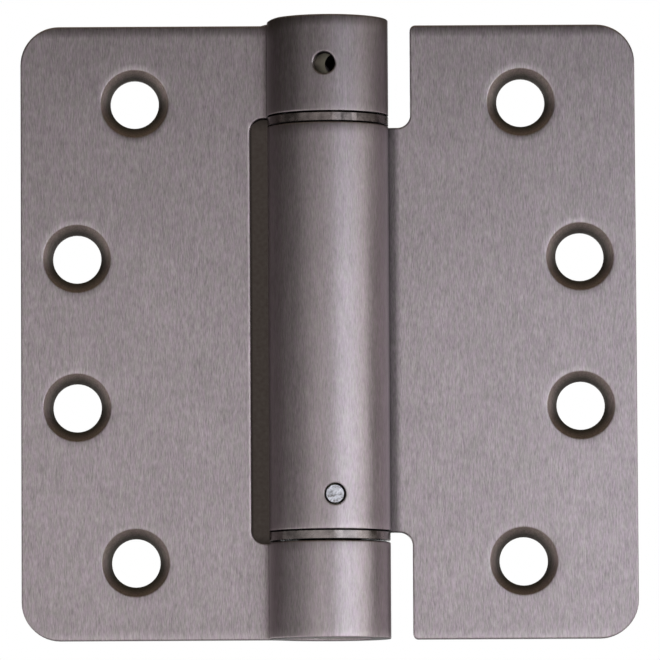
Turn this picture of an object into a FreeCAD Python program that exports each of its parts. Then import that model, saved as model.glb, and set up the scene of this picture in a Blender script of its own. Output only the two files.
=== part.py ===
import FreeCAD, Part
import math
import os
from FreeCAD import Vector

# Spring loaded door hinge, laid flat open, in millimetres.
# Z runs up along the pivot axis and the countersunk faces look towards -Y.
# The jamb leaf is at -X and the door leaf at +X.
# The origin is on the pivot axis, halfway up the barrel.

# Leaves
leaf_height = 101.6
open_width = 101.6
sheet = 3.0
corner_radius = 6.35
face_setback = 1.6
swage_radius = 4.0
edge_ease = 0.12
top_step = 0.6
step_outside = 1.0
step_inside = 2.0

# Clearance cuts in the leaves, beside the other leaf's knuckles
jamb_cut_clearance = 2.9
door_cut_clearance = 3.65
cut_corner = 2.2
tab_corner = 0.9

# Screw holes, for No. 12 countersunk wood screws
screw_hole = 8.0
screw_head = 11.2
head_angle = 82.0
outer_hole_from_tip = 18.85
outer_hole_from_end = 12.8
inner_hole_from_tip = 9.25
inner_hole_spacing = 24.65

# Barrel
barrel_radius = 10.0
knuckle_length = 15.95
curl_gap = 0.45

# Flanged bearings
flange_thickness = 1.5
skirt_length = 3.2
bearing_wall = 1.73
rim_ease = 0.1

# Plugs
upper_plug_recess = 0.5
lower_plug_recess = 0.35
plug_chamfer = 0.5
anchor_plug_length = 11.0
journal_end_gap = 0.5
stem_length = 9.0
socket_flats = 4.0
socket_depth = 5.0

# Tension holes and anchor pin, with angles to the right of the front, in degrees
pin_hole = 3.6
pin_hole_ease = 0.15
anchor_pin_diameter = 2.9
tension_hole_rise = 7.95
tension_hole_angle = -3.6
plug_hole_angle = 11.3
anchor_pin_rise = 2.55
anchor_pin_angle = 4.9
anchor_pin_recess = 0.4
anchor_pin_overrun = 3.0

# Torsion spring, wound from square wire
wire = 2.8
coil_gap = 0.25
spring_headroom = 5.4
runs_per_turn = 12
tang_overrun = 2.4
tang_inset = 0.3

# Clearances
press_clearance = 0.02
running_clearance = 0.05
plug_clearance = 0.1
seat_gap = 0.05
upper_end_gap = 0.15
lower_end_gap = 0.25
spring_clearance = 0.3
stem_clearance = 0.4
tang_clearance = 0.15

# Levels along the axis
barrel_length = leaf_height + top_step
barrel_top = barrel_length / 2
barrel_bottom = -barrel_top
leaf_top = barrel_bottom + leaf_height
leaf_middle = (leaf_top + barrel_bottom) / 2
upper_knuckle_bottom = barrel_top - knuckle_length
upper_flange_top = upper_knuckle_bottom - upper_end_gap
middle_top = upper_flange_top - flange_thickness - seat_gap
middle_bottom = -middle_top
lower_knuckle_top = -upper_flange_top - lower_end_gap
anchor_plug_bottom = middle_bottom + skirt_length + press_clearance
anchor_plug_top = anchor_plug_bottom + anchor_plug_length
tension_hole_height = upper_knuckle_bottom + tension_hole_rise
anchor_pin_height = anchor_plug_bottom + anchor_pin_rise

# Reaches from the axis
tip_x = open_width / 2
outer_hole_x = tip_x - outer_hole_from_tip
inner_hole_x = tip_x - inner_hole_from_tip
outer_hole_spacing = leaf_height - 2 * outer_hole_from_end
jamb_cut_reach = barrel_radius + jamb_cut_clearance
door_cut_reach = barrel_radius + door_cut_clearance
past_barrel = barrel_radius + sheet
step_start = -barrel_radius - step_outside
step_end = -barrel_radius + step_inside

# Radii and the swage bend's centre
bore_radius = barrel_radius - sheet
bearing_bore = bore_radius - press_clearance - bearing_wall
journal_radius = bearing_bore - running_clearance
bend_y = face_setback + sheet + swage_radius
bend_x = math.sqrt((barrel_radius + swage_radius) ** 2 - bend_y ** 2)
bend_angle = math.degrees(math.atan2(bend_y, bend_x))
curl_end = 360 + math.degrees(math.asin((face_setback - curl_gap) / barrel_radius))

# The spring fills the bore between the anchor plug and the upper bearing
coil_radius = bore_radius - spring_clearance - wire / 2
stem_radius = coil_radius - wire / 2 - stem_clearance
coil_pitch = wire + coil_gap
spring_bottom = anchor_plug_top + seat_gap
spring_room = middle_top - skirt_length - spring_headroom - spring_bottom - wire
coil_runs = int(spring_room / coil_pitch * runs_per_turn)
coil_turn = 360 * coil_runs / runs_per_turn
coil_rise = coil_pitch * coil_runs / runs_per_turn
spring_top = spring_bottom + coil_rise + wire
journal_bottom = spring_top + seat_gap


def radial(radius, height, angle, inner, outer):
    """Round bar that points out from the axis, at an angle to the right of the front."""
    turn = math.radians(angle)
    outward = Vector(math.sin(turn), -math.cos(turn), 0)
    return Part.makeCylinder(radius, outer - inner, outward * inner + Vector(0, 0, height), outward)


def arc(first, middle, last):
    return Part.Arc(first, middle, last).toShape()


def line(first, last):
    return Part.LineSegment(first, last).toShape()


def revolved(section):
    """Solid turned about the pivot axis from radius and height pairs."""
    points = [Vector(radius, 0, height) for radius, height in section]
    face = Part.Face(Part.makePolygon(points + points[:1]))
    return face.revolve(Vector(0, 0, 0), Vector(0, 0, 1), 360)


def rounded_face(corners, y):
    """Face across Y from corners given as x, z and rounding radius."""
    edges = []
    last_end = None
    first_start = None
    for index, (x, z, radius) in enumerate(corners):
        before = corners[index - 1]
        after = corners[(index + 1) % len(corners)]
        corner = Vector(x, y, z)
        back = (Vector(before[0], y, before[1]) - corner).normalize()
        ahead = (Vector(after[0], y, after[1]) - corner).normalize()
        start = end = corner
        if radius > 0:
            half = back.getAngle(ahead) / 2
            bisector = (back + ahead).normalize()
            start = corner + back * (radius / math.tan(half))
            end = corner + ahead * (radius / math.tan(half))
            middle = corner + bisector * (radius / math.sin(half) - radius)
        if last_end is not None:
            edges.append(line(last_end, start))
        else:
            first_start = start
        if radius > 0:
            edges.append(arc(start, middle, end))
        last_end = end
    edges.append(line(last_end, first_start))
    return Part.Face(Part.Wire(edges))


def leaf_section(side):
    """Sheet seen along the axis: flat plate, swage bend away from the screw face, and rolled knuckle."""
    def ring(radius, angle):
        turn = math.radians(angle)
        return Vector(side * radius * math.cos(turn), radius * math.sin(turn), 0)

    def bend(radius, angle):
        turn = math.radians(angle)
        return Vector(side * (bend_x + radius * math.cos(turn)), bend_y + radius * math.sin(turn), 0)

    outside = swage_radius + sheet
    tangent = bend_angle + 180
    halfway = (tangent + 270) / 2
    around = (bend_angle + curl_end) / 2
    front_tip = Vector(side * tip_x, face_setback, 0)
    back_tip = Vector(side * tip_x, face_setback + sheet, 0)
    edges = [
        line(front_tip, bend(outside, 270)),
        arc(bend(outside, 270), bend(outside, halfway), bend(outside, tangent)),
        arc(ring(bore_radius, bend_angle), ring(bore_radius, around), ring(bore_radius, curl_end)),
        line(ring(bore_radius, curl_end), ring(barrel_radius, curl_end)),
        arc(ring(barrel_radius, curl_end), ring(barrel_radius, around), ring(barrel_radius, bend_angle)),
        arc(bend(swage_radius, tangent), bend(swage_radius, halfway), bend(swage_radius, 270)),
        line(bend(swage_radius, 270), back_tip),
        line(back_tip, front_tip),
    ]
    return Part.Face(Part.Wire(edges))


def rolled_leaf(side, outline):
    """Blank of the given outline, bent to the leaf section, with its edges eased."""
    section = leaf_section(side)
    section.translate(Vector(0, 0, barrel_bottom - sheet))
    bent = section.extrude(Vector(0, 0, barrel_length + 2 * sheet))
    blank = rounded_face(outline, -2 * barrel_radius).extrude(Vector(0, 4 * barrel_radius, 0))
    leaf = bent.common(blank).Solids[0]
    return leaf.makeChamfer(edge_ease, outline_edges(leaf))


def outline_edges(leaf):
    """Edges that run round the blank's outline, on both faces of the sheet."""
    chosen = []
    for edge in leaf.Edges:
        box = edge.BoundBox
        upright = box.XLength < 0.001 and box.YLength < 0.001
        across = box.XLength < 0.001 and box.ZLength < 0.001
        seam = upright and not (at_reach(box.XMin) and on_face(box.YMin))
        radial_end = box.ZLength < 0.001 and edge.Curve.TypeId == "Part::GeomLine" and not on_face(box.YMin)
        if not (seam or across or radial_end):
            chosen.append(edge)
    return chosen


def on_face(y):
    return min(abs(y - face_setback), abs(y - face_setback - sheet)) < 0.001


def at_reach(x):
    return min(abs(abs(x) - reach) for reach in (tip_x, jamb_cut_reach, door_cut_reach)) < 0.001


def screw_holes(side):
    """Four countersunk holes in the zigzag of a standard template."""
    head_depth = (screw_head - screw_hole) / 2 / math.tan(math.radians(head_angle / 2))
    tools = []
    for x, spacing in ((outer_hole_x, outer_hole_spacing), (inner_hole_x, inner_hole_spacing)):
        for end in (-1, 1):
            centre = Vector(side * x, face_setback, leaf_middle + end * spacing / 2)
            inward = Vector(0, 1, 0)
            tools.append(Part.makeCylinder(screw_hole / 2, sheet + 1, centre, inward))
            tools.append(Part.makeCone(screw_head / 2, screw_hole / 2, head_depth, centre, inward))
    return tools


def jamb_leaf():
    """Leaf with the top and bottom knuckles, and the hole that takes the tension pin."""
    outline = [
        (-tip_x, barrel_bottom, corner_radius),
        (past_barrel, barrel_bottom, 0),
        (past_barrel, lower_knuckle_top, 0),
        (-jamb_cut_reach, lower_knuckle_top, cut_corner),
        (-jamb_cut_reach, upper_knuckle_bottom, cut_corner),
        (past_barrel, upper_knuckle_bottom, 0),
        (past_barrel, barrel_top, 0),
        (step_start, barrel_top, 0),
        (step_start, leaf_top, 0),
        (-tip_x, leaf_top, corner_radius),
    ]
    leaf = rolled_leaf(-1, outline)
    window = radial(pin_hole / 2, tension_hole_height, tension_hole_angle, bore_radius - 1, barrel_radius + 1)
    leaf = leaf.cut(screw_holes(-1) + [window, top_slope()])
    return leaf.makeChamfer(pin_hole_ease, pin_hole_rim(leaf))


def pin_hole_rim(leaf):
    """Edges where the tension pin's hole opens on the outside of the top knuckle."""
    rim = []
    for edge in leaf.Edges:
        box = edge.BoundBox
        near_hole = abs(box.Center.z - tension_hole_height) < pin_hole and box.XLength < 2 * pin_hole
        outside = box.YMax < -barrel_radius * math.cos(pin_hole / barrel_radius)
        if near_hole and outside:
            rim.append(edge)
    return rim


def top_slope():
    """Tool that slopes the top knuckle's flank down to the leaf's lower top edge."""
    low = Vector(step_start, -past_barrel, leaf_top)
    high = Vector(step_end, -past_barrel, barrel_top)
    above = Vector(0, 0, sheet)
    middle = (low + high) / 2 + Vector(0, 0, top_step / 8)
    edges = [
        arc(low, middle, high),
        line(high, high + above),
        line(high + above, low + above),
        line(low + above, low),
    ]
    return Part.Face(Part.Wire(edges)).extrude(Vector(0, 2 * past_barrel, 0))


def door_leaf():
    """Leaf with the long middle barrel, and the hole of the pin that anchors the spring."""
    outline = [
        (tip_x, barrel_bottom, corner_radius),
        (tip_x, leaf_top, corner_radius),
        (door_cut_reach, leaf_top, tab_corner),
        (door_cut_reach, middle_top, cut_corner),
        (-past_barrel, middle_top, 0),
        (-past_barrel, middle_bottom, 0),
        (door_cut_reach, middle_bottom, cut_corner),
        (door_cut_reach, barrel_bottom, tab_corner),
    ]
    leaf = rolled_leaf(1, outline)
    window = radial(pin_hole / 2, anchor_pin_height, anchor_pin_angle, bore_radius - 1, barrel_radius + 1)
    return leaf.cut(screw_holes(1) + [window])


def bearing(end):
    """Flanged bush pressed into one end of the middle barrel. End is 1 at the top and -1 below."""
    skirt = bore_radius - press_clearance
    low = middle_top - skirt_length
    seat = middle_top + seat_gap
    top = seat + flange_thickness
    section = [
        (bearing_bore, low),
        (skirt, low),
        (skirt, seat),
        (barrel_radius - rim_ease, seat),
        (barrel_radius, seat + rim_ease),
        (barrel_radius, top - rim_ease),
        (barrel_radius - rim_ease, top),
        (bearing_bore, top),
    ]
    return revolved([(radius, end * height) for radius, height in section])


def lower_pivot():
    """Plug fixed in the bottom knuckle, with a journal up through the lower bearing."""
    plug = bore_radius - press_clearance
    low = barrel_bottom + lower_plug_recess
    shoulder = lower_knuckle_top
    top = anchor_plug_bottom - journal_end_gap
    section = [
        (0, low),
        (plug - plug_chamfer, low),
        (plug, low + plug_chamfer),
        (plug, shoulder),
        (journal_radius, shoulder),
        (journal_radius, top),
        (0, top),
    ]
    return revolved(section)


def slot_tool(bottom, top, angle):
    """Slot across a stem for the spring's tang."""
    width = wire + 2 * tang_clearance
    tool = Part.makeBox(4 * stem_radius, width, top - bottom, Vector(-2 * stem_radius, -width / 2, bottom))
    tool.rotate(Vector(0, 0, 0), Vector(0, 0, 1), angle)
    return tool


def anchor_plug():
    """Plug pinned in the middle barrel, with a slotted stem that holds the spring's lower tang."""
    plug = bore_radius - press_clearance
    stem_top = anchor_plug_top + stem_length
    section = [
        (0, anchor_plug_bottom),
        (plug - plug_chamfer, anchor_plug_bottom),
        (plug, anchor_plug_bottom + plug_chamfer),
        (plug, anchor_plug_top),
        (stem_radius, anchor_plug_top),
        (stem_radius, stem_top),
        (0, stem_top),
    ]
    bore = anchor_pin_diameter / 2 + press_clearance
    pin_way = radial(bore, anchor_pin_height, anchor_pin_angle, -anchor_pin_overrun, barrel_radius)
    slot = slot_tool(anchor_plug_top, stem_top, 0)
    return revolved(section).cut([pin_way, slot])


def anchor_pin():
    """Pin through the barrel wall into the anchor plug, set a little below the surface."""
    radius = anchor_pin_diameter / 2
    outer = barrel_radius - anchor_pin_recess
    return radial(radius, anchor_pin_height, anchor_pin_angle, press_clearance - anchor_pin_overrun, outer)


def tension_plug():
    """Plug that turns in the top knuckle to wind the spring, with a hex socket and two crossed pin holes."""
    head = bore_radius - plug_clearance
    head_bottom = upper_flange_top + seat_gap
    top = barrel_top - upper_plug_recess
    stem_bottom = journal_bottom - stem_length
    section = [
        (0, stem_bottom),
        (stem_radius, stem_bottom),
        (stem_radius, journal_bottom),
        (journal_radius, journal_bottom),
        (journal_radius, head_bottom),
        (head, head_bottom),
        (head, top - plug_chamfer),
        (head - plug_chamfer, top),
        (0, top),
    ]
    tools = []
    for angle in (plug_hole_angle, plug_hole_angle + 90):
        tools.append(radial(pin_hole / 2, tension_hole_height, angle, -head - 1, head + 1))
    corner = socket_flats / math.sqrt(3)
    hexagon = [Vector(corner * math.cos(turn * math.pi / 3), corner * math.sin(turn * math.pi / 3), top)
               for turn in range(7)]
    tools.append(Part.Face(Part.makePolygon(hexagon)).extrude(Vector(0, 0, -socket_depth)))
    tools.append(slot_tool(stem_bottom, journal_bottom, coil_turn))
    return revolved(section).cut(tools)


def wire_section(before, centre, after):
    """Four corners of the square wire on the mitre plane between two runs of its route."""
    def left_of(start, end):
        return Vector(start.y - end.y, end.x - start.x, 0).normalize()

    normals = [left_of(*run) for run in ((before, centre), (centre, after)) if run[0] != run[1]]
    across = (normals[0] + normals[-1]).normalize()
    across = across * (wire / 2 / across.dot(normals[0]))
    up = Vector(0, 0, wire / 2)
    return [centre - across - up, centre + across - up, centre + across + up, centre - across + up]


def torsion_spring():
    """Right-hand coil of square wire, whose ends turn inward into the plugs' slots."""
    first = spring_bottom + wire / 2
    end = math.radians(coil_turn)
    route = [Vector(-tang_overrun, 0, first)]
    for run in range(coil_runs + 1):
        turn = 2 * math.pi * run / runs_per_turn
        height = first + coil_pitch * run / runs_per_turn
        radius = coil_radius - tang_inset if run in (0, coil_runs) else coil_radius
        route.append(Vector(radius * math.cos(turn), radius * math.sin(turn), height))
    route.append(Vector(-tang_overrun * math.cos(end), -tang_overrun * math.sin(end), first + coil_rise))
    ends = [route[0]] + route + [route[-1]]
    sections = [wire_section(*ends[index:index + 3]) for index in range(len(route))]
    outlines = [sections[0], sections[-1]]
    for low, high in zip(sections, sections[1:]):
        for corner in (1, 3):
            following = (corner + 1) % 4
            outlines.append([low[corner], low[following], high[following], high[corner]])
        for corner in (0, 2):
            following = corner + 1
            outlines.append([low[corner], low[following], high[following]])
            outlines.append([low[corner], high[following], high[corner]])
    faces = [Part.Face(Part.makePolygon(outline + outline[:1])) for outline in outlines]
    return Part.Solid(Part.Shell(faces))


pieces = {
    "jamb_leaf": jamb_leaf,
    "lower_pivot": lower_pivot,
    "door_leaf": door_leaf,
    "upper_bearing": lambda: bearing(1),
    "lower_bearing": lambda: bearing(-1),
    "anchor_plug": anchor_plug,
    "anchor_pin": anchor_pin,
    "torsion_spring": torsion_spring,
    "tension_plug": tension_plug,
}

os.makedirs("parts", exist_ok=True)
for name, make in pieces.items():
    shape = make()
    shape.exportStep(f"parts/{name}.step")
    print(name, shape.isValid(), len(shape.Solids), round(shape.Volume, 1))
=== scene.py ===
import math

import bpy
from mathutils import Matrix, Vector


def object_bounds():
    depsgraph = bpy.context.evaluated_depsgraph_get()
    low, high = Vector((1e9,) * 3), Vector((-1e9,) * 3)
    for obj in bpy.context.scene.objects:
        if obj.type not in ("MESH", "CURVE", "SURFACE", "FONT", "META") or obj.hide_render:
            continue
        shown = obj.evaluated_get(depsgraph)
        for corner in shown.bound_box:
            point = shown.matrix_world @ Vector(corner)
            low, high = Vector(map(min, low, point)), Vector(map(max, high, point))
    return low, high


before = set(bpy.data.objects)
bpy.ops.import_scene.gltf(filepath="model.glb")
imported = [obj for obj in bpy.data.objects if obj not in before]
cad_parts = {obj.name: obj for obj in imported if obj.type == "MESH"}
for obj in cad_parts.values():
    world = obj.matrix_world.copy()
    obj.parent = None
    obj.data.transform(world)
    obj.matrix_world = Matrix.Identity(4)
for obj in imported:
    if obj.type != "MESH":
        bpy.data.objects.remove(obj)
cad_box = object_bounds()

# The frame is in metres: Z runs up the barrel and the countersunk faces look to -Y.
# Sizes and places on the hinge are written in millimetres and multiplied by MM.
MM = 0.001

# Camera, at the photograph's viewing angle
IMAGE_PIXELS = 660
FOCAL_PIXELS = 7286.7
SENSOR = 36.0
CAMERA_DISTANCE = 1201 * MM
CAMERA_TARGET = Vector((0.18 * MM, 0, -0.15 * MM))
CAMERA_ELEVATION = math.radians(-4.42)
CAMERA_AZIMUTH = math.radians(-0.29)
CAMERA_ROLL = math.radians(-0.32)

# Room: brightness at the left, at the right and overhead, and its colour
ROOM = 0.03
ROOM_RIGHT = 0.12
OVERHEAD = 0.3
WARM = (1.0, 0.85, 0.62)

# Floor: half its side and its drop under the hinge, in metres, and how pale it looks
FLOOR_HALF = 1.5
FLOOR_DROP = 0.042
FLOOR_PALENESS = 0.8
FLOOR_WHITE = (0.9, 0.9, 0.9, 1)
FLOOR_TONES = ((0.80, 0.80, 0.80, 1), (0.84, 0.84, 0.84, 1))

# Softboxes around the hinge: their distance and the heights of their edges, in metres, and their colours
LAMP_DISTANCE = 0.4
LAMP_LEVELS = (-0.09, 0.05, 0.12)
NEUTRAL = (1.0, 1.0, 1.0)
COOL = (0.94, 1.0, 1.07)

# Each softbox: angle to the right of the front in degrees, width, and brightness below and above
KEY_SOFTBOX = (33, 0.31, 2.06, 0.94)
SOFTBOXES = (
    (-77, 0.31, 0.19, 0.06),
    (-44, 0.155, 0.40, 0.36),
    (-22, 0.155, 0.93, 0.34),
    (0, 0.155, 0.72, 0.68),
    (66, 0.155, 1.56, 0.92),
    (88, 0.155, 0.05, 0.50),
    (110, 0.155, 0.10, 0.45),
    (180, 0.16, 1.70, 1.30),
)

# Slot beside the barrel: its left, upper and lower edges
SLOT_LEFT = -12.95
SLOT_TOP = 35.4
SLOT_BOTTOM = -35.2

# Painted shade: a dark card behind the slot, standing in for the shadowed gap beside the barrel: left,
# right, low and high edges, its depth and its two tones
SLOT_CARD = (-15.5, -8.2, -35.6, 35.6)
CARD_Y = 6.0
SHADE_CARD_DARK = (0.042, 0.033, 0.029, 1)
SHADE_CARD_LIGHT = (0.053, 0.044, 0.039, 1)

# Painted shadow on the card along the slot's edges: its width and its tone at the edge
SHADE_LEFT = (0.45, 0.3)
SHADE_TOP = (2.0, 0.5)
SHADE_BOTTOM = (1.6, 0.5)

# Screw holes, one of four mirrored places on each of two rows, and the radius of their sinks
HOLE_ROWS = ((31.95, 38.0), (41.55, 12.325))
HOLE_MIDDLE = -0.3
HEAD_RADIUS = 5.6

# Upper and lower ends of the top knuckle, the middle barrel and the bottom knuckle, and of the plates
TOP_KNUCKLE = (51.1, 35.15)
MIDDLE_BARREL = (33.45, -33.45)
BOTTOM_KNUCKLE = (-35.25, -51.1)
PLATE = (50.5, -51.1)

# Middle of the bearings' rims, and a distance from the axis just past the barrel's wall
RIM_MIDDLE = 34.3
BARREL_REACH = 10.3

# Rounding of the sheared edges in the shading
EDGE_ROUNDING = 0.4

# Brushed grain: stretch of its fine, broad and long marks and of its tint, scale of its clouds, and depths
FINE_GRAIN = (5500, 5500, 850)
BROAD_GRAIN = (1300, 1300, 240)
LONG_GRAIN = (3200, 3200, 130)
TINT_GRAIN = (1700, 1700, 700)
CLOUD_SCALE = 90.0
GRAIN = 0.34
BARREL_GRAIN = 0.75
SCRATCH = 0.1
GRAIN_BUMP = 0.25
GRAIN_RELIEF = 0.02
MAUVE = (1.03, 0.985, 1.03, 1)
OLIVE = (0.98, 1.01, 0.96, 1)

# Nudge that gives the brushing a direction where a face looks straight up or down
BRUSH_NUDGE = (0.003, 0.002, 0)

# Colour of the screw sinks, lighter at their rims and darker at their holes, how far inside the rims it
# starts and ends
SINK_OUTER = (0.85, 0.79, 0.70, 1)
SINK_INNER = (0.30, 0.31, 0.27, 1)
SINK_BLEND = (1.2, 0.3)
SINK_EDGE = 0.05
SINK_ROUGHNESS = 0.6

# Die roll: how far the sheet dips round the screw sinks and at its upper ends, and over what width
DISH = 0.045
DISH_WIDTH = 1.1
ROLL = 0.095
ROLL_WIDTH = 2.0

# Painted light: highlight on the lower ends, shade on the top knuckle, and shade on the sheared edges that
# face down, with their glancing reflection dimmed
LOWER_END_HIGHLIGHT = 1.35
TOP_KNUCKLE_SHADE = 0.84
DOWNWARD = (-0.5, -0.8)
UNDERSIDE_SHADE = 0.42
DOWN_GLANCE_SHADE = (0.0, 0.0, 0.0, 1)

# Painted shade in the door leaf's bend beside the barrel: tone, where it starts, is full, begins to end and
# ends, and its depth
BEND_SHADE = 0.46
BEND = (9.6, 10.0, 11.0, 11.9)
BEND_DEPTH = 3.0

# Painted highlight along the slot's left edge: tone, reach into the leaf, heights where it fades, and limit
EDGE_HIGHLIGHT_TONE = 1.7
EDGE_HIGHLIGHT_REACH = (0.45, 0.15)
EDGE_HIGHLIGHT_HEIGHTS = (34.6, 33.6)
EDGE_HIGHLIGHT_END = -11.0

# Painted shade in the joints beside the bearings' rims: heights above and below the middle, half-width and
# tone of the shade
SEAMS = (35.1, 33.475)
SEAM_HALF = 0.17
SEAM_SHADE = 0.12

# Painted shade inside the tension plug's crossed holes: height, half-height, reach and tone
TENSION_HOLE = 43.1
BORE_HALF = 1.9
BORE_REACH = 6.7
BORE_SHADE = 0.1

# Turned finish: stretch of its rings
TURNED_RINGS = (400, 400, 5000)

# Painted highlights and dark reflections on the bearings' rims: place from left to right, half-width and
# strength
UPPER_RIM_REFLECTIONS = ((1.4, 0.9, 0.5), (4.3, 0.5, 0.6), (-6.2, 1.2, -0.35), (5.5, 6.5, -0.5))
LOWER_RIM_REFLECTIONS = ((1.3, 0.9, 0.3), (4.6, 0.7, 0.15), (-6.2, 1.2, -0.15), (5.5, 6.5, -0.2))


class Nodes:
    """Short way to add shader nodes and link them."""

    def __init__(self, owner):
        owner.use_nodes = True
        self.tree = owner.node_tree
        self.tree.nodes.clear()

    def add(self, kind, inputs=None, **settings):
        node = self.tree.nodes.new(kind)
        for key, value in settings.items():
            setattr(node, key, value)
        for key, value in (inputs or {}).items():
            socket = node.inputs[key]
            if isinstance(value, bpy.types.NodeSocket):
                self.tree.links.new(value, socket)
            else:
                socket.default_value = value
        return node

    def math(self, operation, *values):
        return self.add("ShaderNodeMath", dict(enumerate(values)), operation=operation).outputs[0]

    def product(self, first, *others):
        for other in others:
            first = self.math("MULTIPLY", first, other)
        return first

    def vector(self, operation, *values):
        node = self.add("ShaderNodeVectorMath", dict(enumerate(values)), operation=operation)
        return node.outputs["Value" if operation == "LENGTH" else "Vector"]

    def scaled(self, vector, factor):
        inputs = {0: vector, "Scale": factor}
        return self.add("ShaderNodeVectorMath", inputs, operation="SCALE").outputs["Vector"]

    def split(self, vector):
        node = self.add("ShaderNodeSeparateXYZ", {0: vector})
        return node.outputs[0], node.outputs[1], node.outputs[2]

    def ramp(self, value, low, high, to_low=0.0, to_high=1.0, smooth=False):
        inputs = {"Value": value, "From Min": low, "From Max": high, "To Min": to_low, "To Max": to_high}
        kind = "SMOOTHSTEP" if smooth else "LINEAR"
        return self.add("ShaderNodeMapRange", inputs, interpolation_type=kind).outputs[0]

    def where(self, mask, inside, outside=1.0):
        """One value where a mask is 1, and another where it is 0."""
        return self.ramp(mask, 0, 1, outside, inside)

    def noise(self, place, scale, detail=2.0, rough=0.5):
        inputs = {"Vector": place, "Scale": scale, "Detail": detail, "Roughness": rough}
        return self.add("ShaderNodeTexNoise", inputs).outputs["Fac"]

    def stretched_noise(self, place, stretch, detail=2.0, rough=0.5):
        return self.noise(self.vector("MULTIPLY", place, stretch), 1.0, detail, rough)

    def mix(self, share, first, second):
        inputs = {0: share, 6: first, 7: second}
        return self.add("ShaderNodeMix", inputs, data_type="RGBA").outputs[2]

    def surface(self, shader):
        """Takes a shader as the material's surface."""
        self.add("ShaderNodeOutputMaterial", {"Surface": shader.outputs[0]})


def axis_distance(n, place):
    """Distance from the pivot axis."""
    return n.vector("LENGTH", n.vector("MULTIPLY", place, (1, 1, 0)))


def screw_distance(n, place):
    """Distance from the middle of the nearest screw hole."""
    x, _, z = n.split(place)
    side = n.math("ABSOLUTE", x)
    height = n.math("ABSOLUTE", n.math("SUBTRACT", z, HOLE_MIDDLE * MM))
    near = None
    for across, up in HOLE_ROWS:
        gap_x = n.math("SUBTRACT", side, across * MM)
        gap_z = n.math("SUBTRACT", height, up * MM)
        gap = n.math("SQRT", n.math("ADD", n.product(gap_x, gap_x), n.product(gap_z, gap_z)))
        near = gap if near is None else n.math("MINIMUM", near, gap)
    return near


def end_closeness(n, place, barrel):
    """How close a place is to the upper and the lower end of its knuckle, barrel or plate: 1 at the end."""
    z = n.split(place)[2]
    high = n.math("GREATER_THAN", z, RIM_MIDDLE * MM)
    low = n.math("LESS_THAN", z, -RIM_MIDDLE * MM)
    levels = []
    for top, middle, bottom, plate in zip(TOP_KNUCKLE, MIDDLE_BARREL, BOTTOM_KNUCKLE, PLATE):
        level = n.where(high, top * MM, middle * MM)
        level = n.where(low, bottom * MM, level)
        levels.append(n.where(barrel, level, plate * MM))
    gaps = n.math("SUBTRACT", levels[0], z), n.math("SUBTRACT", z, levels[1])
    return [n.math("POWER", n.ramp(gap, 0, ROLL_WIDTH * MM, 1.0, 0.0), 2) for gap in gaps]


def seam_shade(n, place):
    """1 in the joints beside the bearings' rims, where shade is painted, and 0 elsewhere."""
    height = n.math("ABSOLUTE", n.split(place)[2])
    joints = []
    for seam in SEAMS:
        gap = n.math("ABSOLUTE", n.math("SUBTRACT", height, seam * MM))
        joints.append(n.math("LESS_THAN", gap, SEAM_HALF * MM))
    outside = n.math("LESS_THAN", axis_distance(n, place), BARREL_REACH * MM)
    return n.product(n.math("MAXIMUM", *joints), outside)


def brushed_grain(n, place, fine, barrel):
    """Tone of the brushing: short fine grain, faint clouds and a few scratches, calmer on the barrel."""
    broad = n.stretched_noise(place, BROAD_GRAIN)
    clouds = n.noise(place, CLOUD_SCALE, 3.0, 0.6)
    lines = n.stretched_noise(place, LONG_GRAIN, 1.0, 0.4)
    tone = n.math("ADD", n.product(fine, 0.78), n.product(broad, 0.22))
    tone = n.product(n.ramp(tone, 0.3, 0.7, 1 - GRAIN, 1 + GRAIN), n.ramp(clouds, 0.3, 0.7, 0.96, 1.04))
    tone = n.math("ADD", tone, n.ramp(lines, 0.66, 0.74, 0.0, SCRATCH))
    depth = n.math("SUBTRACT", tone, 1.0)
    return n.math("ADD", 1.0, n.product(depth, n.where(barrel, BARREL_GRAIN)))


def bend_shade(n, place):
    """1 in the front of the door leaf's bend beside the barrel, where shade is painted, and 0 elsewhere."""
    x, y, z = n.split(place)
    start, full, fade, end = (value * MM for value in BEND)
    across = n.math("MINIMUM", n.ramp(x, start, full), n.ramp(x, end, fade))
    upright = n.math("LESS_THAN", n.math("ABSOLUTE", z), RIM_MIDDLE * MM)
    return n.product(across, upright, n.math("LESS_THAN", n.math("ABSOLUTE", y), BEND_DEPTH * MM))


def slot_edge_highlight(n, place):
    """1 along the slot's left edge, where a highlight is painted, and 0 elsewhere."""
    x, _, z = n.split(place)
    across = n.ramp(x, (SLOT_LEFT - EDGE_HIGHLIGHT_REACH[0]) * MM, (SLOT_LEFT - EDGE_HIGHLIGHT_REACH[1]) * MM)
    upright = n.ramp(n.math("ABSOLUTE", z), EDGE_HIGHLIGHT_HEIGHTS[0] * MM, EDGE_HIGHLIGHT_HEIGHTS[1] * MM)
    return n.product(across, n.math("LESS_THAN", x, EDGE_HIGHLIGHT_END * MM), upright)


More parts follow.
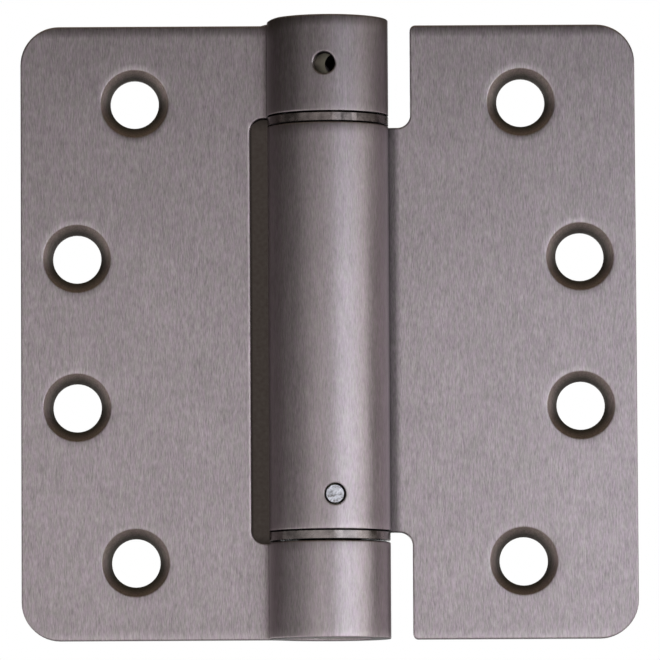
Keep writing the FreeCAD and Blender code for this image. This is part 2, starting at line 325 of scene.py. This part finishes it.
def brushed_steel(name, colour, roughness):
    """Plated steel brushed along the barrel, with brown, dull screw sinks, painted highlights on the lower
    ends and along the slot's edge, and painted shade in the joints, the bend, the top knuckle and on faces
    that look down.
    """
    material = bpy.data.materials.new(name)
    n = Nodes(material)
    place = n.add("ShaderNodeTexCoord").outputs["Object"]
    normal = n.add("ShaderNodeBevel", {"Radius": EDGE_ROUNDING * MM}, samples=6).outputs[0]
    fine = n.stretched_noise(place, FINE_GRAIN, 3.0, 0.65)
    barrel = n.math("LESS_THAN", axis_distance(n, place), BARREL_REACH * MM)
    top_knuckle = n.product(n.math("GREATER_THAN", n.split(place)[2], RIM_MIDDLE * MM), barrel)
    near = screw_distance(n, place)
    sink = n.ramp(near, (HEAD_RADIUS - SINK_EDGE) * MM, (HEAD_RADIUS + SINK_EDGE) * MM, 1.0, 0.0)
    facing = n.split(n.add("ShaderNodeNewGeometry").outputs["True Normal"])[2]
    # Painted shade on faces that look down, outside the sinks
    down = n.product(n.ramp(facing, *DOWNWARD), n.math("SUBTRACT", 1.0, sink))
    rolled, lower_end_highlight = end_closeness(n, place, barrel)

    tone = n.product(
        brushed_grain(n, place, fine, barrel),
        # painted shade in the joints beside the bearings' rims
        n.where(seam_shade(n, place), SEAM_SHADE),
        # painted highlight on the lower ends, standing in for light from below
        n.where(lower_end_highlight, LOWER_END_HIGHLIGHT),
        # painted shade: the top knuckle darker
        n.where(top_knuckle, TOP_KNUCKLE_SHADE),
        # painted shade in the door leaf's bend beside the barrel
        n.where(bend_shade(n, place), BEND_SHADE),
        # painted shade on faces that look down
        n.where(down, UNDERSIDE_SHADE),
        # painted highlight along the slot's left edge
        n.where(slot_edge_highlight(n, place), EDGE_HIGHLIGHT_TONE))
    tint = n.mix(n.ramp(n.stretched_noise(place, TINT_GRAIN), 0.35, 0.65), MAUVE, OLIVE)
    rim = n.ramp(near, (HEAD_RADIUS - SINK_BLEND[0]) * MM, (HEAD_RADIUS - SINK_BLEND[1]) * MM)
    sink_colour = n.mix(sink, (1, 1, 1, 1), n.mix(rim, SINK_INNER, SINK_OUTER))
    base = n.scaled(n.vector("MULTIPLY", n.vector("MULTIPLY", tint, sink_colour), colour), tone)

    rough = n.ramp(fine, 0.3, 0.7, roughness - 0.04, roughness + 0.04)
    rough = n.math("MAXIMUM", rough, n.where(sink, SINK_ROUGHNESS, 0.0))
    # Painted shade: dimmed glancing reflection on faces that look down
    glance_shade = n.mix(down, (1, 1, 1, 1), DOWN_GLANCE_SHADE)
    across = n.vector("ADD", n.vector("CROSS_PRODUCT", normal, (0, 0, 1)), BRUSH_NUDGE)

    dish = n.math("POWER", n.ramp(near, HEAD_RADIUS * MM, (HEAD_RADIUS + DISH_WIDTH) * MM, 1.0, 0.0), 2)
    dip = n.math("ADD", n.product(dish, -DISH), n.product(rolled, -ROLL))
    dished = n.add("ShaderNodeBump", {"Strength": 1.0, "Distance": MM, "Height": dip, "Normal": normal})
    bump = n.add("ShaderNodeBump", {
        "Strength": GRAIN_BUMP, "Distance": GRAIN_RELIEF * MM, "Height": fine, "Normal": dished.outputs[0]})
    n.surface(n.add("ShaderNodeBsdfPrincipled", {
        "Base Color": base, "Metallic": 1.0, "Roughness": rough, "Anisotropic": 0.6,
        "Specular Tint": glance_shade, "Tangent": across, "Normal": bump.outputs[0]}))
    return material


def turned_steel(name, colour, roughness, variation=0.12, size=900.0, marks=(), relief=0.01):
    """Turned or sheared steel with uneven tone, painted highlights and dark reflections from left to right,
    and painted shade in the joints.
    """
    material = bpy.data.materials.new(name)
    n = Nodes(material)
    place = n.add("ShaderNodeTexCoord").outputs["Object"]
    x, _, z = n.split(place)
    patches = n.noise(place, size, 3.0, 0.6)
    tone = n.ramp(patches, 0.3, 0.7, 1 - variation, 1 + variation)
    level = n.math("ABSOLUTE", n.math("SUBTRACT", z, TENSION_HOLE * MM))
    # Painted shade inside the tension plug's crossed holes
    bore_shade = n.product(
        n.math("LESS_THAN", level, BORE_HALF * MM),
        n.math("LESS_THAN", axis_distance(n, place), BORE_REACH * MM))
    tone = n.product(tone, n.where(bore_shade, BORE_SHADE))
    # Painted highlights and dark reflections across the rims
    for middle, half, strength in marks:
        gap = n.math("ABSOLUTE", n.math("SUBTRACT", x, middle * MM))
        tone = n.math("ADD", tone, n.ramp(gap, 0.6 * half * MM, half * MM, strength, 0.0, smooth=True))
    # Painted shade in the joints beside the bearings' rims
    tone = n.product(tone, n.where(seam_shade(n, place), SEAM_SHADE))
    height = n.math("ADD", patches, n.product(n.stretched_noise(place, TURNED_RINGS), 0.2))
    bump = n.add("ShaderNodeBump", {"Strength": 1.0, "Distance": relief * MM, "Height": height})
    n.surface(n.add("ShaderNodeBsdfPrincipled", {
        "Base Color": n.scaled(colour, tone), "Metallic": 1.0,
        "Roughness": n.ramp(patches, 0.3, 0.7, roughness * 0.8, roughness * 1.2),
        "Normal": bump.outputs[0]}))
    return material


def finish_node(name, material):
    """Gives a CAD node its finish."""
    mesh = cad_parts[name].data
    mesh.materials.clear()
    mesh.materials.append(material)


def place_camera():
    """Camera at the photograph's viewing angle, distance and framing."""
    back = Vector((
        math.sin(CAMERA_AZIMUTH) * math.cos(CAMERA_ELEVATION),
        -math.cos(CAMERA_AZIMUTH) * math.cos(CAMERA_ELEVATION),
        math.sin(CAMERA_ELEVATION)))
    level = (-back).cross(Vector((0, 0, 1))).normalized()
    upward = level.cross(-back)
    right = level * math.cos(CAMERA_ROLL) + upward * math.sin(CAMERA_ROLL)
    up = upward * math.cos(CAMERA_ROLL) - level * math.sin(CAMERA_ROLL)
    data = bpy.data.cameras.new("camera")
    data.sensor_width = SENSOR
    data.lens = SENSOR * FOCAL_PIXELS / IMAGE_PIXELS
    data.clip_start = 0.05
    camera = bpy.data.objects.new("camera", data)
    turn = Matrix((right, up, back)).transposed().to_4x4()
    camera.matrix_world = Matrix.Translation(CAMERA_TARGET + back * CAMERA_DISTANCE) @ turn
    bpy.context.scene.collection.objects.link(camera)
    bpy.context.scene.camera = camera


def softbox(azimuth, width, below, above, colour=NEUTRAL):
    """Pair of upright area lamps, one over the other, that face the hinge."""
    turn = math.radians(azimuth)
    toward = Vector((math.sin(turn), -math.cos(turn), 0))
    for low, high, brightness in zip(LAMP_LEVELS, LAMP_LEVELS[1:], (below, above)):
        data = bpy.data.lights.new("softbox", "AREA")
        data.shape = "RECTANGLE"
        data.size = width
        data.size_y = high - low
        data.energy = brightness * math.pi * width * (high - low)
        data.color = colour
        lamp = bpy.data.objects.new("softbox", data)
        lamp.location = toward * LAMP_DISTANCE + Vector((0, 0, (low + high) / 2))
        lamp.rotation_euler = toward.to_track_quat("Z", "Y").to_euler()
        lamp.visible_camera = False
        bpy.context.scene.collection.objects.link(lamp)


def studio():
    """White backdrop behind the hinge, and a dim warm room that is lighter overhead and to the right."""
    world = bpy.data.worlds.new("studio")
    bpy.context.scene.world = world
    n = Nodes(world)
    x, y, z = n.split(n.add("ShaderNodeTexCoord").outputs["Generated"])
    overhead = n.ramp(z, 0.3, 0.9, 0.0, OVERHEAD, smooth=True)
    room = n.math("ADD", n.ramp(x, 0.0, 1.0, ROOM, ROOM_RIGHT), overhead)
    behind = n.ramp(y, 0.9, 1.0, 0.0, 1.0, smooth=True)
    path = n.add("ShaderNodeLightPath").outputs
    mirrored = n.product(n.math("MAXIMUM", path["Is Glossy Ray"], path["Is Transmission Ray"]), behind)
    light = n.mix(n.math("MAXIMUM", path["Is Camera Ray"], mirrored), n.scaled(WARM, room), (1, 1, 1, 1))
    background = n.add("ShaderNodeBackground", {"Color": light, "Strength": 1.0})
    n.add("ShaderNodeOutputWorld", {"Surface": background.outputs[0]})


def flat_sheet(name, corners, material):
    """Flat four-cornered sheet."""
    mesh = bpy.data.meshes.new(name)
    mesh.from_pydata(corners, [], [(0, 1, 2, 3)])
    mesh.materials.append(material)
    sheet = bpy.data.objects.new(name, mesh)
    bpy.context.scene.collection.objects.link(sheet)
    return sheet


def one_sided(n, shader):
    """Shader that shows on a sheet's front and lets its back be looked through."""
    back = n.add("ShaderNodeNewGeometry").outputs["Backfacing"]
    clear = n.add("ShaderNodeBsdfTransparent")
    return n.add("ShaderNodeMixShader", {0: back, 1: shader.outputs[0], 2: clear.outputs[0]})


def lay_floor():
    """Pale floor under the hinge, which hides nothing from a camera below it."""
    material = bpy.data.materials.new("pale_floor")
    n = Nodes(material)
    place = n.add("ShaderNodeTexCoord").outputs["Object"]
    path = n.add("ShaderNodeLightPath").outputs
    seen = n.math("MAXIMUM", path["Is Glossy Ray"], path["Is Transmission Ray"])
    seen = n.math("MAXIMUM", path["Is Camera Ray"], seen)
    matt = n.add("ShaderNodeBsdfDiffuse", {"Color": n.mix(n.noise(place, 40.0, 3.0), *FLOOR_TONES)})
    glow = n.add("ShaderNodeEmission", {"Color": FLOOR_WHITE})
    share = n.where(seen, FLOOR_PALENESS, 0.0)
    pale = n.add("ShaderNodeMixShader", {0: share, 1: matt.outputs[0], 2: glow.outputs[0]})
    n.surface(one_sided(n, pale))
    level = cad_box[0][2] - FLOOR_DROP
    low, high = -FLOOR_HALF, FLOOR_HALF
    places = ((low, low), (high, low), (high, high), (low, high))
    floor = flat_sheet("floor", [(x, y, level) for x, y in places], material)


def hang_painted_shade_card():
    """Dark card behind the slot beside the barrel, glowing dimly as painted shade for the shadowed gap. It
    casts no shadow.
    """
    material = bpy.data.materials.new("painted_shade_card")
    n = Nodes(material)
    place = n.add("ShaderNodeTexCoord").outputs["Object"]
    x, _, z = n.split(place)
    weave = n.ramp(n.noise(place, 1500.0, 3.0), 0.3, 0.7)
    # Painted shadow of the leaf along the slot's edges
    shade = n.product(
        n.ramp(x, SLOT_LEFT * MM, (SLOT_LEFT + SHADE_LEFT[0]) * MM, SHADE_LEFT[1], 1.0),
        n.ramp(z, SLOT_TOP * MM, (SLOT_TOP - SHADE_TOP[0]) * MM, SHADE_TOP[1], 1.0),
        n.ramp(z, SLOT_BOTTOM * MM, (SLOT_BOTTOM + SHADE_BOTTOM[0]) * MM, SHADE_BOTTOM[1], 1.0))
    tone = n.scaled(n.mix(weave, SHADE_CARD_DARK, SHADE_CARD_LIGHT), shade)
    # The card glows with its own dim tone: painted shade, not lit by the lamps
    n.surface(one_sided(n, n.add("ShaderNodeEmission", {"Color": tone})))
    left, right, low, high = (value * MM for value in SLOT_CARD)
    places = ((left, low), (right, low), (right, high), (left, high))
    card = flat_sheet("painted_shade_backdrop", [(x, CARD_Y * MM, z) for x, z in places], material)
    card.visible_shadow = False
    card.visible_diffuse = False


leaf_steel = brushed_steel("leaf_steel", (0.333, 0.290, 0.304), 0.33)
upper_steel = turned_steel("upper_bearing_steel", (0.24, 0.205, 0.20), 0.25, 0.35, 700.0, UPPER_RIM_REFLECTIONS)
lower_steel = turned_steel("lower_bearing_steel", (0.25, 0.22, 0.215), 0.25, 0.3, 700.0, LOWER_RIM_REFLECTIONS)
plug_steel = turned_steel("plug_steel", (0.18, 0.165, 0.13), 0.45, 0.2)
pin_steel = turned_steel("pin_steel", (0.6, 0.6, 0.66), 0.4, 0.45, 1300.0, relief=0.4)
spring_steel = turned_steel("spring_steel", (0.16, 0.155, 0.15), 0.4)

FINISHES = {
    "jamb_leaf": leaf_steel,
    "door_leaf": leaf_steel,
    "upper_bearing": upper_steel,
    "lower_bearing": lower_steel,
    "lower_pivot": plug_steel,
    "anchor_plug": plug_steel,
    "tension_plug": plug_steel,
    "anchor_pin": pin_steel,
    "torsion_spring": spring_steel,
}

for node_name, finish in FINISHES.items():
    finish_node(node_name, finish)

place_camera()
studio()
softbox(*KEY_SOFTBOX, COOL)
for panel in SOFTBOXES:
    softbox(*panel)
lay_floor()
hang_painted_shade_card()
bpy.context.scene.view_settings.view_transform = "Standard"
